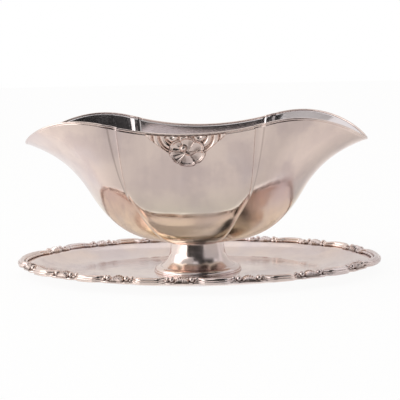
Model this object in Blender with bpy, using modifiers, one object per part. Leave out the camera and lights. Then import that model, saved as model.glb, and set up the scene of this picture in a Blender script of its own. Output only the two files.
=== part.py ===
"""Silver sauce boat with two lips, screwed to an oval stand with an applied border.

Frame: origin on the table under the middle of the stand, +X along the spouts, +Z up.
All lengths are in metres.
"""

import math

import bmesh
import bpy
from mathutils import Vector

# Clearances between pieces that are soldered, seated or screwed together
SEAT_GAP = 0.0003
BOLT_GAP = 0.0004

# Stand
STAND_LENGTH = 0.2320
STAND_WIDTH = 0.1660
STAND_SHEET = 0.0010
STAND_LIP_HEIGHT = 0.0075
FLANGE_WIDTH = 0.0105
WELL_LENGTH = 0.1440
WELL_WIDTH = 0.0960
LOBE_RISE = 0.0018
END_LOBE_RISE = 0.0024
NOTCH_DEPTH = 0.0019
NOTCH_WIDTH = 0.0024
BOSS_FOOT_RADIUS = 0.0165
BOSS_TOP_RADIUS = 0.0145
BOSS_HEIGHT = 0.0040

# Border ornaments, as angles of the outline from the middle of each long side
CLUSTER_ANGLES = (20.2, 41.3, 65.1)
CLUSTER_LENGTH = 0.0210
CLUSTER_WIDTH = 0.0086
CLUSTER_HEIGHT = 0.0036
SCROLL_WIDTH = 0.0058
SCROLL_HEIGHT = 0.0027
BORDER_OVERHANG = 0.0006
BORDER_STEP = 0.0040

# Foot
FOOT_RING_RADIUS = 0.0279
FOOT_RING_BORE = 0.0215
FOOT_RING_HEIGHT = 0.0032
PEDESTAL_FOOT_RADIUS = 0.0239
PEDESTAL_WAIST_RADIUS = 0.0168
PEDESTAL_HEIGHT = 0.0146
PEDESTAL_WALL = 0.0013
PEDESTAL_TOP_BORE = 0.0120
TURNING_STEPS = 32

# Bowl
BOWL_WALL = 0.0010
BOWL_BASE_RADIUS = 0.0170
TIP_X = 0.1078
TIP_RISE = 0.0634
TIP_FULLNESS = 0.0215
CREST_PULL = 0.0116
TIP_PULL = 0.0020
RIB_X = 0.0454
RIB_Y = 0.0465
RIB_RISE = 0.0759
RIB_SWEEP = 0.0400
RIB_SPREAD = 0.0028
SIDE_Y = 0.0432
SIDE_RISE = 0.0705
RIB_GROOVE_DEPTH = 0.0015
RIB_GROOVE_WIDTH = 0.0021
SPOUT_STATIONS = 8
SIDE_STATIONS = 4
ROWS_PER_CURVE = 5

# Meridians of the bowl from base to rim, as shares of reach and of rise:
# two cubic curves end to end, given by their seven control points
SPOUT_MERIDIAN = ((0.0, 0.0), (0.320, 0.0), (0.479, 0.304), (0.571, 0.524),
                  (0.639, 0.682), (0.750, 0.877), (1.0, 1.0))
RIB_MERIDIAN = ((0.0, 0.0), (0.220, 0.049), (0.500, 0.227), (0.720, 0.404),
                (0.860, 0.529), (0.930, 0.739), (1.0, 1.0))
SIDE_MERIDIAN = ((0.0, 0.0), (0.380, 0.0), (0.660, 0.098), (0.820, 0.329),
                 (0.915, 0.497), (0.955, 0.748), (1.0, 1.0))

# How long a panel keeps the meridian of its middle before it turns in to the rib
PANEL_SQUARENESS = 4.5
LOBE_SQUARENESS = 3.0

# Rim wire and flower mounts
RIM_WIRE_RADIUS = 0.0008
MOUNT_HALF_LENGTH = 0.0250
MOUNT_FLOWER_RADIUS = 0.0120
MOUNT_FLOWER_DROP = 0.0190
MOUNT_LEAF_DROP = 0.0110
MOUNT_TIP_DROP = 0.0030
MOUNT_THICKNESS = 0.0016
MOUNT_PETAL_HEIGHT = 0.0010
MOUNT_RIM_MARGIN = 0.0012
MOUNT_PETALS = 5
MOUNT_COLUMNS = 18
MOUNT_ROWS = 6

# Hidden fixing
STUD_RADIUS = 0.0020
STUD_FLANGE_RADIUS = 0.0080
STUD_FLANGE_THICKNESS = 0.0015
STUD_TABLE_GAP = 0.0006
WASHER_RADIUS = 0.0055
WASHER_THICKNESS = 0.0005
NUT_ACROSS_FLATS = 0.0070
NUT_THICKNESS = 0.0022

# Shapes, as shares of the sizes above: the dished slope of the stand, the pedestal's profile
# from its waist down, a border piece's section, the bulges of a cluster and the ends of a scroll
SLOPE_SHARES = (0.15, 0.35, 0.65, 1.0)
PEDESTAL_PROFILE = ((0.0, 1.0), (0.02, 0.65), (0.30, 0.37), (0.82, 0.14), (1.0, 0.0))
BORDER_SECTION = ((-0.5, 0.0), (-0.5, 0.35), (-0.25, 0.90), (0.0, 1.0), (0.25, 0.90), (0.5, 0.35), (0.5, 0.0))
SHELL_SPREAD = 0.30
KNOB_PLACE = 0.62
KNOB_SHARE = 0.62
CLUSTER_END_SHARE = 0.28
CLUSTER_LEAST_WIDTH = 0.55
SCROLL_END_SHARE = 0.72

# Heights that follow from the sizes above
FLOOR_TOP = STAND_SHEET
FOOT_RING_BOTTOM = FLOOR_TOP + SEAT_GAP
PEDESTAL_BOTTOM = FOOT_RING_BOTTOM + FOOT_RING_HEIGHT + SEAT_GAP
PEDESTAL_TOP = PEDESTAL_BOTTOM + PEDESTAL_HEIGHT
BOWL_BOTTOM = PEDESTAL_TOP + SEAT_GAP
BOSS_TOP = FLOOR_TOP + BOSS_HEIGHT
RECESS_TOP = BOSS_TOP - STAND_SHEET
BORDER_BOTTOM = STAND_LIP_HEIGHT + SEAT_GAP
HOLE_RADIUS = STUD_RADIUS + BOLT_GAP


def clear_scene():
    for old in list(bpy.data.objects):
        bpy.data.objects.remove(old, do_unlink=True)


def new_collection(name):
    collection = bpy.data.collections.new(name)
    bpy.context.scene.collection.children.link(collection)
    return collection


def make_metal(name, color, roughness, metallic=1.0):
    material = bpy.data.materials.new(name)
    material.use_nodes = True
    shader = material.node_tree.nodes["Principled BSDF"]
    shader.inputs["Base Color"].default_value = (*color, 1.0)
    shader.inputs["Roughness"].default_value = roughness
    shader.inputs["Metallic"].default_value = metallic
    return material


def add_piece(name, mesh, collection, material):
    mesh.materials.append(material)
    mesh.shade_smooth()
    mesh.set_sharp_from_angle(angle=math.radians(35))
    piece = bpy.data.objects.new(name, mesh)
    collection.objects.link(piece)
    return piece


def mesh_from_bmesh(bm, name, facing=None):
    """Mesh with outward faces; an open sheet turns its last face toward facing."""
    bmesh.ops.recalc_face_normals(bm, faces=bm.faces)
    bm.faces.ensure_lookup_table()
    if facing and bm.faces[-1].normal.dot(Vector(facing)) < 0.0:
        bmesh.ops.reverse_faces(bm, faces=bm.faces)
    mesh = bpy.data.meshes.new(name)
    bm.to_mesh(mesh)
    bm.free()
    return mesh


def turned_piece(name, profile, collection, material, hollow=True):
    """Turns a profile of (radius, height), listed down its outer side; a hollow one is closed."""
    mesh = bpy.data.meshes.new(name)
    points = [(radius, 0.0, height) for radius, height in profile]
    edges = [(i, i + 1) for i in range(len(points) - 1)]
    if hollow:
        edges.append((len(points) - 1, 0))
    mesh.from_pydata(points, edges, [])
    piece = bpy.data.objects.new(name, mesh)
    collection.objects.link(piece)
    mesh.materials.append(material)
    screw = piece.modifiers.new("turning", "SCREW")
    screw.steps = TURNING_STEPS
    screw.render_steps = TURNING_STEPS
    screw.use_merge_vertices = True
    screw.merge_threshold = 0.00001
    screw.use_smooth_shade = True


def add_solidify(piece, thickness, offset):
    shell = piece.modifiers.new("sheet", "SOLIDIFY")
    shell.thickness = thickness
    shell.offset = offset
    shell.use_even_offset = True


def bridge_rings(bm, first, second, closed):
    count = len(first)
    for i in range(count if closed else count - 1):
        j = (i + 1) % count
        bm.faces.new((first[i], first[j], second[j], second[i]))


def cubic(p0, p1, p2, p3, t):
    s = 1.0 - t
    weights = (s * s * s, 3 * s * s * t, 3 * s * t * t, t * t * t)
    return tuple(sum(w * v for w, v in zip(weights, values)) for values in zip(p0, p1, p2, p3))


# Bowl surface

def rim_toward_tip(t):
    """Rim from the rib (t = 0) to the tip of the spout (t = 1), first quarter."""
    rib = (RIB_X, RIB_Y, RIB_RISE)
    crest = (RIB_X + RIB_SWEEP, RIB_Y + RIB_SPREAD, RIB_RISE + CREST_PULL)
    nose = (TIP_X, TIP_FULLNESS, TIP_RISE + TIP_PULL)
    tip = (TIP_X, 0.0, TIP_RISE)
    return cubic(rib, crest, nose, tip, t)


def rim_toward_side(t):
    """Rim from the rib (t = 0) to the middle of the long side (t = 1), first quarter."""
    share = (1.0 - t) ** 2
    return (RIB_X * (1.0 - t), SIDE_Y + (RIB_Y - SIDE_Y) * share,
            SIDE_RISE + (RIB_RISE - SIDE_RISE) * share)


def meridian_point(controls, v):
    """Share of reach and of rise at v, from the base (0) to the rim (1)."""
    if v <= 0.5:
        return cubic(*controls[0:4], 2.0 * v)
    return cubic(*controls[3:7], 2.0 * v - 1.0)


def blend_controls(first, second, share):
    return [tuple(a + (b - a) * share for a, b in zip(p, q)) for p, q in zip(first, second)]


def meridian_at(toward_tip, t):
    """Meridian between the rib (t = 0) and the far end of a panel (t = 1)."""
    if toward_tip:
        return blend_controls(RIB_MERIDIAN, SPOUT_MERIDIAN, 1.0 - (1.0 - t) ** LOBE_SQUARENESS)
    return blend_controls(RIB_MERIDIAN, SIDE_MERIDIAN, 1.0 - (1.0 - t) ** PANEL_SQUARENESS)


def rib_distance(toward_tip, t):
    rib = Vector((RIB_X, RIB_Y, RIB_RISE))
    rim = rim_toward_tip(t) if toward_tip else rim_toward_side(t)
    return (Vector(rim) - rib).length


def bowl_point(toward_tip, t, v, signs):
    """Point of the bowl's outer face; signs picks the quarter."""
    rim = rim_toward_tip(t) if toward_tip else rim_toward_side(t)
    reach, rise = meridian_point(meridian_at(toward_tip, t), v)
    rim_radius = math.hypot(rim[0], rim[1])
    radius = BOWL_BASE_RADIUS + (rim_radius - BOWL_BASE_RADIUS) * reach
    groove = math.exp(-(rib_distance(toward_tip, t) / RIB_GROOVE_WIDTH) ** 2)
    radius -= RIB_GROOVE_DEPTH * groove * reach
    return Vector((signs[0] * radius * rim[0] / rim_radius,
                   signs[1] * radius * rim[1] / rim_radius,
                   BOWL_BOTTOM + rim[2] * rise))


def quarter_stations():
    """Stations of one quarter from the tip to the middle of the side, closer at the rib."""
    groove_steps = (2.0 * RIB_GROOVE_WIDTH, RIB_GROOVE_WIDTH)
    spout_speed = 3.0 * math.hypot(RIB_SWEEP, RIB_SPREAD)
    stations = [(True, 1.0 - i / SPOUT_STATIONS) for i in range(SPOUT_STATIONS)]
    stations += [(True, step / spout_speed) for step in groove_steps]
    stations.append((True, 0.0))
    stations += [(False, step / RIB_X) for step in reversed(groove_steps)]
    stations += [(False, (i + 1) / SIDE_STATIONS) for i in range(SIDE_STATIONS)]
    return stations


def bowl_stations():
    """Stations round the whole rim, with the signs of their quarter."""
    quarter = quarter_stations()
    around = [(station, (1, 1)) for station in quarter]
    around += [(station, (-1, 1)) for station in reversed(quarter[1:-1])]
    around.insert(len(quarter) + len(quarter) - 2, (quarter[0], (-1, 1)))
    around += [(station, (-1, -1)) for station in quarter[1:]]
    around += [(station, (1, -1)) for station in reversed(quarter[1:-1])]
    return around


def make_bowl(collection, material):
    bm = bmesh.new()
    rows = 2 * ROWS_PER_CURVE
    stations = bowl_stations()
    rings = []
    for row in range(rows + 1):
        v = 1.0 - row / rows
        rings.append([bm.verts.new(bowl_point(*station, v, signs)) for station, signs in stations])
    for upper, lower in zip(rings, rings[1:]):
        bridge_rings(bm, upper, lower, True)
    bm.faces.new(rings[-1])
    bowl = add_piece("bowl", mesh_from_bmesh(bm, "bowl", (0, 0, -1)), collection, material)
    add_solidify(bowl, BOWL_WALL, -1.0)


def surface_frame(toward_tip, t, v, signs):
    """Point, outward normal and upward direction in the sheet at a place on the bowl."""
    step = 0.01
    point = bowl_point(toward_tip, t, v, signs)
    before = bowl_point(toward_tip, max(t - step, 0.0), v, signs)
    after = bowl_point(toward_tip, min(t + step, 1.0), v, signs)
    upward = (point - bowl_point(toward_tip, t, v - step, signs)).normalized()
    if toward_tip and t + step > 1.0:
        along = Vector((0.0, 1.0, 0.0))
    elif not toward_tip and t + step > 1.0:
        along = Vector((1.0, 0.0, 0.0))
    else:
        along = (after - before).normalized()
    normal = along.cross(upward).normalized()
    outward = Vector((point.x, point.y, 0.0))
    if normal.dot(outward) < 0.0:
        normal.negate()
    in_sheet = (upward - along * upward.dot(along)).normalized()
    return point, normal, in_sheet


def make_rim_wire(collection, material):
    """Round wire that follows the rim, seated on the edge of the sheet."""
    curve = bpy.data.curves.new("bowl_rim_wire", "CURVE")
    curve.dimensions = "3D"
    curve.bevel_depth = RIM_WIRE_RADIUS
    curve.bevel_resolution = 1
    stations = bowl_stations()
    spline = curve.splines.new("POLY")
    spline.points.add(len(stations) - 1)
    spline.use_cyclic_u = True
    for place, (station, signs) in zip(spline.points, stations):
        point, normal, in_sheet = surface_frame(*station, 1.0, signs)
        centre = point - normal * BOWL_WALL / 2 + in_sheet * (RIM_WIRE_RADIUS + SEAT_GAP)
        place.co = (*centre, 1.0)
    curve.materials.append(material)
    wire = bpy.data.objects.new("bowl_rim_wire", curve)
    collection.objects.link(wire)


def mount_drop(x):
    """How far the mount reaches below the rim at a distance x from its middle."""
    flower = max(0.0, 1.0 - (x / MOUNT_FLOWER_RADIUS) ** 2)
    leaf = 1.0 - abs(x) / MOUNT_HALF_LENGTH
    leaf_drop = MOUNT_TIP_DROP + (MOUNT_LEAF_DROP - MOUNT_TIP_DROP) * math.sqrt(max(leaf, 0.0))
    return max(leaf_drop, MOUNT_FLOWER_DROP * math.sqrt(flower))


def mount_relief(x, down):
    """Height of the casting over its back face: petals round a ball, leaves beside them."""
    centre_drop = MOUNT_FLOWER_DROP / 2
    off = Vector((x, down - centre_drop))
    if off.length < MOUNT_FLOWER_RADIUS:
        petals = 0.5 + 0.5 * math.cos(MOUNT_PETALS * math.atan2(off.x, off.y))
        bud = math.exp(-(off.length / (MOUNT_FLOWER_RADIUS / 4)) ** 2)
        return MOUNT_THICKNESS + MOUNT_PETAL_HEIGHT * max(0.6 * petals, bud)
    return MOUNT_THICKNESS


def height_share_at(t, share):
    """Place v on a side meridian where the rise is the given share of the rim's rise."""
    low, high = 0.0, 1.0
    controls = meridian_at(False, t)
    for _ in range(40):
        middle = (low + high) / 2
        if meridian_point(controls, middle)[1] < share:
            low = middle
        else:
            high = middle
    return (low + high) / 2


def make_flower_mount(name, side, collection, material):
    """Casting that lies on the middle of a long side, just under the rim."""
    bm = bmesh.new()
    faces = {"back": [], "front": []}
    for i in range(MOUNT_COLUMNS + 1):
        x = MOUNT_HALF_LENGTH * (2.0 * i / MOUNT_COLUMNS - 1.0)
        signs = (1 if x >= 0 else -1, side)
        t = 1.0 - abs(x) / RIB_X
        columns = {"back": [], "front": []}
        for j in range(MOUNT_ROWS + 1):
            down = MOUNT_RIM_MARGIN + (mount_drop(x) - MOUNT_RIM_MARGIN) * j / MOUNT_ROWS
            v = height_share_at(t, 1.0 - down / rim_toward_side(t)[2])
            point, normal, _ = surface_frame(False, t, v, signs)
            columns["back"].append(bm.verts.new(point + normal * SEAT_GAP))
            height = SEAT_GAP + mount_relief(x, down)
            columns["front"].append(bm.verts.new(point + normal * height))
        for key in faces:
            faces[key].append(columns[key])
    for grid in faces.values():
        for left, right in zip(grid, grid[1:]):
            bridge_rings(bm, left, right, False)
    for i in range(MOUNT_COLUMNS):
        for j in (0, MOUNT_ROWS):
            pair = [faces["back"][i][j], faces["back"][i + 1][j]]
            bm.faces.new((*pair, faces["front"][i + 1][j], faces["front"][i][j]))
    for i in (0, MOUNT_COLUMNS):
        bridge_rings(bm, faces["back"][i], faces["front"][i], False)
    add_piece(name, mesh_from_bmesh(bm, name), collection, material)


# Stand

def cluster_places():
    """Outline angles of the ornament clusters, all the way round."""
    offsets = sorted([0.0] + [sign * a for a in CLUSTER_ANGLES for sign in (-1, 1)])
    return sorted(base + offset for base in (90.0, 270.0) for offset in offsets)


def oval_point(angle, length, width):
    turn = math.radians(angle)
    return Vector((length / 2 * math.cos(turn), width / 2 * math.sin(turn), 0.0))


def lobe_length(start, end):
    """Length of the plain oval between two clusters."""
    chords = 24
    points = [oval_point(start + (end - start) * i / chords, STAND_LENGTH, STAND_WIDTH)
              for i in range(chords + 1)]
    return sum((q - p).length for p, q in zip(points, points[1:]))


def lobe_at(angle):
    """The lobe that holds an angle: its start, its end and the share of the way along it."""
    places = cluster_places()
    around = places + [places[0] + 360.0]
    wrapped = (angle - places[0]) % 360.0 + places[0]
    start, end = next((a, b) for a, b in zip(around, around[1:]) if a <= wrapped <= b)
    return start, end, (wrapped - start) / (end - start)


def outline_point(angle):
    """Edge of the stand: an oval with a notch on each side of every cluster and a swell between."""
    start, end, share = lobe_at(angle)
    at_end = abs(end - start - 2.0 * (90.0 - CLUSTER_ANGLES[-1])) < 0.001
    from_cluster = min(share, 1.0 - share) * lobe_length(start, end)
    notch = math.exp(-((from_cluster - CLUSTER_LENGTH / 2) / NOTCH_WIDTH) ** 2)
    swell = (END_LOBE_RISE if at_end else LOBE_RISE) * math.sin(math.pi * share)
    lift = swell - NOTCH_DEPTH * notch
    length = STAND_LENGTH - 2 * END_LOBE_RISE + 2 * lift
    width = STAND_WIDTH - 2 * LOBE_RISE + 2 * lift
    return oval_point(angle, length, width)


def oval_ring(length, width, angles):
    return [oval_point(angle, length, width) for angle in angles]


def stand_angles():
    """Angles round the edge, closer together at the clusters and their notches."""
    places = cluster_places()
    angles = []
    for start, end in zip(places, places[1:] + [places[0] + 360.0]):
        length = lobe_length(start, end)
        half = CLUSTER_LENGTH / 2
        near = [0.0, half - 2 * NOTCH_WIDTH, half - NOTCH_WIDTH, half, half + NOTCH_WIDTH]
        distances = near + [length / 2] + [length - d for d in reversed(near[1:])]
        angles += [start + (end - start) * d / length for d in distances]
    return angles


def make_stand(collection, material):
    """Oval sheet: flange, dished slope, flat floor and a pressed-up boss with the stud hole."""
    angles = stand_angles()
    edge = [outline_point(a) for a in angles]
    flange_in = (STAND_LENGTH - 2 * FLANGE_WIDTH, STAND_WIDTH - 2 * FLANGE_WIDTH)
    rise = STAND_LIP_HEIGHT - FLOOR_TOP
    rings = [(edge, STAND_LIP_HEIGHT), (oval_ring(*flange_in, angles), STAND_LIP_HEIGHT)]
    for share in SLOPE_SHARES:
        length = flange_in[0] + (WELL_LENGTH - flange_in[0]) * share
        width = flange_in[1] + (WELL_WIDTH - flange_in[1]) * share
        drop = 1.0 - (1.0 - share) ** 2
        rings.append((oval_ring(length, width, angles), STAND_LIP_HEIGHT - rise * drop))
    for radius, height in ((BOSS_FOOT_RADIUS, FLOOR_TOP), (BOSS_TOP_RADIUS, BOSS_TOP),
                           (HOLE_RADIUS, BOSS_TOP)):
        rings.append((oval_ring(2 * radius, 2 * radius, angles), height))
    bm = bmesh.new()
    loops = []
    for ring, height in rings:
        loops.append([bm.verts.new(point + Vector((0, 0, height))) for point in ring])
    for outer, inner in zip(loops, loops[1:]):
        bridge_rings(bm, outer, inner, True)
    stand = add_piece("tray", mesh_from_bmesh(bm, "tray", (0, 0, 1)), collection, material)
    add_solidify(stand, STAND_SHEET, -1.0)


def outline_walk(start, end, inset):
    """Places along the edge, moved in from it by inset, with the inward direction there."""
    samples = 60
    degree = 1.0
    walk = []
    for i in range(samples + 1):
        angle = start + (end - start) * i / samples
        ahead = oval_point(angle + degree, STAND_LENGTH, STAND_WIDTH)
        step = ahead - oval_point(angle - degree, STAND_LENGTH, STAND_WIDTH)
        inward = Vector((-step.y, step.x, 0.0)).normalized()
        walk.append((outline_point(angle) + inward * inset, inward))
    return walk


def walk_lengths(walk):
    lengths = [0.0]
    for (p, _), (q, _) in zip(walk, walk[1:]):
        lengths.append(lengths[-1] + (q - p).length)
    return lengths


def place_on_walk(walk, lengths, distance):
    for i in range(len(lengths) - 2):
        if lengths[i + 1] >= distance:
            break
    share = (distance - lengths[i]) / (lengths[i + 1] - lengths[i])
    point = walk[i][0].lerp(walk[i + 1][0], share)
    inward = walk[i][1].lerp(walk[i + 1][1], share).normalized()
    return point, inward


def border_section(point, inward, width, height):
    """Half-round section of a border piece that stands on the flange."""
    base = point + Vector((0, 0, BORDER_BOTTOM))
    return [base + inward * (across * width) + Vector((0, 0, up * height)) for across, up in BORDER_SECTION]


def make_border_piece(name, walk, lengths, first, last, size_at, collection, material):
    """Loft along the edge from first to last, with size_at giving width and height."""
    bm = bmesh.new()
    steps = max(4, round((last - first) / BORDER_STEP))
    sections = []
    for i in range(steps + 1):
        share = i / steps
        point, inward = place_on_walk(walk, lengths, first + (last - first) * share)
        width, height = size_at(share)
        sections.append([bm.verts.new(p) for p in border_section(point, inward, width, height)])
    for a, b in zip(sections, sections[1:]):
        bridge_rings(bm, a, b, True)
    bm.faces.new(sections[0])
    bm.faces.new(sections[-1])
    add_piece(name, mesh_from_bmesh(bm, name), collection, material)


def cluster_size(share):
    """Shell in the middle with a knob tapering off on each side."""
    off = abs(2.0 * share - 1.0)
    shell = math.exp(-(off / SHELL_SPREAD) ** 2)
    knob = KNOB_SHARE * math.exp(-((off - KNOB_PLACE) / SHELL_SPREAD) ** 2)
    size = CLUSTER_END_SHARE + (1.0 - CLUSTER_END_SHARE) * max(shell, knob)
    width_share = CLUSTER_LEAST_WIDTH + (1.0 - CLUSTER_LEAST_WIDTH) * size
    return CLUSTER_WIDTH * width_share, CLUSTER_HEIGHT * size


def scroll_size(share):
    """Moulded length that swells toward its middle."""
    size = SCROLL_END_SHARE + (1.0 - SCROLL_END_SHARE) * math.sin(math.pi * share)
    return SCROLL_WIDTH * size, SCROLL_HEIGHT * size


def make_border(collection, material):
    places = cluster_places()
    inset = CLUSTER_WIDTH / 2 - BORDER_OVERHANG
    around = places + [places[0] + 360.0]
    half = CLUSTER_LENGTH / 2
    for number, (start, end) in enumerate(zip(around, around[1:]), 1):
        walk = outline_walk(start, end, inset)
        lengths = walk_lengths(walk)
        make_border_piece(f"border_scroll_{number:02d}", walk, lengths, half + SEAT_GAP,
                          lengths[-1] - half - SEAT_GAP, scroll_size, collection, material)
    for number, (before, place, after) in enumerate(
            zip([around[-2] - 360.0] + around, around, around[1:]), 1):
        walk = outline_walk(before, after, inset)
        lengths = walk_lengths(walk)
        middle = walk_lengths(outline_walk(before, place, inset))[-1]
        make_border_piece(f"border_flower_{number:02d}", walk, lengths, middle - half,
                          middle + half, cluster_size, collection, material)


# Foot and hidden fixing

def make_pedestal(collection, material):
    bottom = PEDESTAL_BOTTOM
    top = PEDESTAL_TOP
    waist = PEDESTAL_WAIST_RADIUS
    flare = PEDESTAL_FOOT_RADIUS - waist
    outer = [(waist + flare * spread, bottom + PEDESTAL_HEIGHT * rise) for spread, rise in PEDESTAL_PROFILE]
    inner = [(r - PEDESTAL_WALL, h) for r, h in reversed(outer)]
    inner[-1] = (inner[-1][0], top - PEDESTAL_WALL)
    shelf = [(PEDESTAL_TOP_BORE, top - PEDESTAL_WALL), (PEDESTAL_TOP_BORE, top)]
    turned_piece("pedestal", outer + inner + shelf, collection, material)


def make_foot_ring(collection, material):
    bottom = FOOT_RING_BOTTOM
    top = bottom + FOOT_RING_HEIGHT
    swell = FOOT_RING_RADIUS - PEDESTAL_FOOT_RADIUS
    steps = 5
    outer = []
    for i in range(steps + 1):
        turn = math.pi / 2 * i / steps
        outer.append((PEDESTAL_FOOT_RADIUS + swell * math.sin(turn),
                      bottom + FOOT_RING_HEIGHT * math.cos(turn)))
    inner = [(FOOT_RING_BORE, bottom), (FOOT_RING_BORE, top)]
    turned_piece("pedestal_foot_ring", outer + inner, collection, material)


def make_stud(collection, material):
    top = BOWL_BOTTOM - SEAT_GAP
    under = top - STUD_FLANGE_THICKNESS
    profile = [(0.0, top), (STUD_FLANGE_RADIUS, top), (STUD_FLANGE_RADIUS, under),
               (STUD_RADIUS, under), (STUD_RADIUS, STUD_TABLE_GAP), (0.0, STUD_TABLE_GAP)]
    turned_piece("fixing_stud", profile, collection, material, hollow=False)


def make_washer(collection, material):
    top = RECESS_TOP - SEAT_GAP
    bottom = top - WASHER_THICKNESS
    profile = [(WASHER_RADIUS, top), (WASHER_RADIUS, bottom), (HOLE_RADIUS, bottom), (HOLE_RADIUS, top)]
    turned_piece("fixing_washer", profile, collection, material)


def make_nut(collection, material):
    """Six-sided nut: two hexagons and two bore circles joined by a loft."""
    top = RECESS_TOP - WASHER_THICKNESS - 2 * SEAT_GAP
    bottom = top - NUT_THICKNESS
    corner = NUT_ACROSS_FLATS / math.sqrt(3.0)
    sides = 6
    bm = bmesh.new()
    rings = []
    for radius, height in ((corner, top), (corner, bottom), (HOLE_RADIUS, bottom), (HOLE_RADIUS, top)):
        ring = []
        for i in range(4 * sides):
            turn = 2.0 * math.pi * i / (4 * sides)
            flat = math.pi / sides
            reach = radius
            if radius == corner:
                reach = corner * math.cos(flat) / math.cos((turn % (2 * flat)) - flat)
            ring.append(bm.verts.new((reach * math.cos(turn), reach * math.sin(turn), height)))
        rings.append(ring)
    for a, b in zip(rings, rings[1:] + rings[:1]):
        bridge_rings(bm, a, b, True)
    add_piece("fixing_nut", mesh_from_bmesh(bm, "fixing_nut"), collection, material)


def main():
    clear_scene()
    parts = new_collection("sauce_boat")
    polished = make_metal("polished_silver", (0.82, 0.76, 0.71), 0.16)
    cast = make_metal("cast_silver", (0.78, 0.72, 0.66), 0.24)
    steel = make_metal("plain_steel", (0.55, 0.55, 0.56), 0.35)
    make_bowl(parts, polished)
    make_rim_wire(parts, polished)
    make_flower_mount("front_flower_mount", -1, parts, cast)
    make_flower_mount("back_flower_mount", 1, parts, cast)
    make_pedestal(parts, polished)
    make_foot_ring(parts, polished)
    make_stand(parts, polished)
    make_border(parts, cast)
    make_stud(parts, steel)
    make_washer(parts, steel)
    make_nut(parts, steel)


main()
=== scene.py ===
"""Looks of a silver sauce boat with two lips, fixed on an oval stand with a cast border.

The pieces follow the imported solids, with finer surfaces, softer spouts and ornament in relief.
All lengths are in metres.
"""

import math

import bmesh
import bpy
import numpy as np
from mathutils import Matrix, Vector


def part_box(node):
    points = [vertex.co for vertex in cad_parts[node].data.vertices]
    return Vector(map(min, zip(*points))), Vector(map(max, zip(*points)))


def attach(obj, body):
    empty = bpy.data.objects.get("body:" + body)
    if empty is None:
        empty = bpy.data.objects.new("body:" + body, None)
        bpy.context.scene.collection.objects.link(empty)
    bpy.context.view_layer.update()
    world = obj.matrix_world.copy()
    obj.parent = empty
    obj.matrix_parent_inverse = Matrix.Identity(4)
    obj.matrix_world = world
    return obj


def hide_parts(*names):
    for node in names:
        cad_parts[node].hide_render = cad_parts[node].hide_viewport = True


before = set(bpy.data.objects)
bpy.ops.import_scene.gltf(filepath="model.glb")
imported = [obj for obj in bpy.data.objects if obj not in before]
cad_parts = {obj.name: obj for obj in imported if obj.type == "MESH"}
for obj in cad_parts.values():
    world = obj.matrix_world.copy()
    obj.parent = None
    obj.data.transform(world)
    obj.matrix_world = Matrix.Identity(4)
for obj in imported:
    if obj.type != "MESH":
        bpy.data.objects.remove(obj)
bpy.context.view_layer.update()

MM = 0.001

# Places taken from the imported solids
TRAY_LOW, TRAY_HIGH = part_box("tray")
FLANGE_TOP = TRAY_HIGH[2]
RING_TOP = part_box("pedestal_foot_ring")[1][2]
BOWL_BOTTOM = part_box("bowl")[0][2]

# Bowl
BOWL_WALL = 1.0 * MM
BOWL_BASE_RADIUS = 17.0 * MM
TIP_X = 107.8 * MM
TIP_RISE = 63.4 * MM
TIP_FULLNESS = 21.5 * MM
CREST_PULL = 11.6 * MM
RIB_X = 45.4 * MM
RIB_Y = 46.5 * MM
RIB_RISE = 75.9 * MM
RIB_SWEEP = 40.0 * MM
RIB_SPREAD = 2.8 * MM
SIDE_Y = 43.2 * MM
SIDE_RISE = 70.5 * MM
PANEL_SQUARENESS = 4.5
LOBE_SQUARENESS = 2.0
FLUTE_DEPTH = 1.6 * MM
FLUTE_HALF_WIDTH = 3.4 * MM
FLUTE_FOOT_SHARE = 0.30
# Strength of the painted shade along both edges of each flute
FLUTE_SHADE = 0.65
SPOUT_STATIONS = 40
FLUTE_STATIONS = 8
SIDE_STATIONS = 22
BOWL_ROWS = 96

SPOUT_MERIDIAN = ((0.0, 0.0), (0.345, 0.0), (0.479, 0.304), (0.571, 0.524),
                  (0.639, 0.682), (0.750, 0.877), (1.0, 1.0))
RIB_MERIDIAN = ((0.0, 0.0), (0.220, 0.049), (0.500, 0.227), (0.720, 0.404),
                (0.860, 0.529), (0.930, 0.739), (1.0, 1.0))
SIDE_MERIDIAN = ((0.0, 0.0), (0.380, 0.0), (0.660, 0.098), (0.820, 0.329),
                 (0.915, 0.497), (0.955, 0.748), (1.0, 1.0))

# Rim wire
RIM_WIRE_RADIUS = 0.70 * MM
RIM_WIRE_PROUD = 0.55 * RIM_WIRE_RADIUS
RIM_WIRE_SIDES = 20

# Flower mount, in its own plane: x along the rim, y up, from the middle of the flower
FLOWER_DROP = 9.7 * MM
FLOWER_HALF_WIDTH = 11.6 * MM
FLOWER_HALF_HEIGHT = 9.2 * MM
FLOWER_SHIFT = 0.6 * MM
BUD_X = -1.8 * MM
BUD_Y = 2.2 * MM
BUD_RADIUS = 2.4 * MM
BUD_HEIGHT = 3.2 * MM
HORN_TIP_X = 8.8 * MM
HORN_SAG = 3.4 * MM
HORN_RADIUS = 1.15 * MM
HORN_HEIGHT = 2.4 * MM
PETAL_ANGLES = (-92, -26, 34, 88, 146, 206)
LEAF_TIP_X = 24.5 * MM
LEAF_ROOT_X = 10.4 * MM
LEAF_ROOT_Y = -1.6 * MM
LEAF_FOLDS = 4
LEAF_RISE = 1.80 * MM
LEAF_EDGE_RISE = 0.75 * MM
LEAF_EDGE_WIDTH = 0.8 * MM
MOUNT_BEAD_PLACES = (-11.6 * MM, -3.0 * MM, 11.6 * MM)
MOUNT_BEAD_DROP = 1.5 * MM
MOUNT_BEAD_RADIUS = 0.9 * MM
MOUNT_BEAD_RISE = 1.6 * MM
MOUNT_RIM_GAP = 0.2 * MM
MOUNT_GROUND = 0.45 * MM
MOUNT_EDGE = 0.15 * MM
MOUNT_ROOT = 0.3 * MM
# Painted shade on the mount: full below this relief height, gone this much higher
MOUNT_SHADE_FROM = 0.4 * MM
MOUNT_SHADE_DEPTH = 0.75 * MM
MOUNT_COLUMNS = 190
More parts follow.
